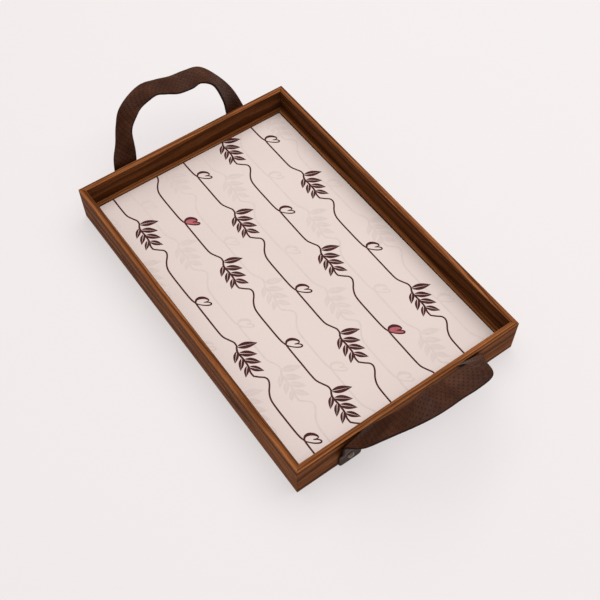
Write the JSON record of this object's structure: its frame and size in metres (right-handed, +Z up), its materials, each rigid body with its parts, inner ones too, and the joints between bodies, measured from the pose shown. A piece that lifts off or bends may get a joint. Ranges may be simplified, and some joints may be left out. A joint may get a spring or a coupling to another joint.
{
  "type": "serving tray",
  "caption": "Rectangular wooden serving tray with stepped mitred rails, a patterned printed insert and a soft strap handle looped over each end.",
  "frame": {"origin": "centre of the tray's footprint, on the surface that it stands on", "axes": "+X along the tray to its right end, +Y towards the back rail, +Z up"},
  "size_m": [0.4678, 0.252, 0.0943],
  "materials": {
    "rail_walnut": "satin",
    "spline_beech": "raw",
    "base_plywood": "raw",
    "insert_hardboard": "raw",
    "printed_paper": "matt laminate",
    "strap_leather": "embossed satin",
    "screw_nickel": "darkened nickel plate"
  },
  "bodies": {
    "tray": {"front_rail": "rail_walnut", "back_rail": "rail_walnut", "left_rail": "rail_walnut", "right_rail": "rail_walnut", "front_left_spline": "spline_beech", "front_right_spline": "spline_beech", "back_left_spline": "spline_beech", "back_right_spline": "spline_beech", "base_board": "base_plywood", "insert_board": "insert_hardboard", "printed_sheet": "printed_paper", "left_strap_front_tab": "strap_leather", "left_strap_back_tab": "strap_leather", "right_strap_front_tab": "strap_leather", "right_strap_back_tab": "strap_leather", "strap_screws": "screw_nickel"},
    "left_handle": {"left_strap_loop": "strap_leather"},
    "right_handle": {"right_strap_loop": "strap_leather"}
  },
  "joints": [
    {"name": "left_strap_fold", "type": "hinge", "parent": "tray", "child": "left_handle", "pos_m": [-0.194, 0, 0.044], "axis": [0, -1, 0], "range_deg": [-30, 60], "stiffness_Nm_per_rad": 0.08, "springref_deg": -1.83},
    {"name": "right_strap_fold", "type": "hinge", "parent": "tray", "child": "right_handle", "pos_m": [0.194, 0, 0.044], "axis": [0, 1, 0], "range_deg": [-30, 60], "stiffness_Nm_per_rad": 0.08, "springref_deg": -1.83}
  ]
}
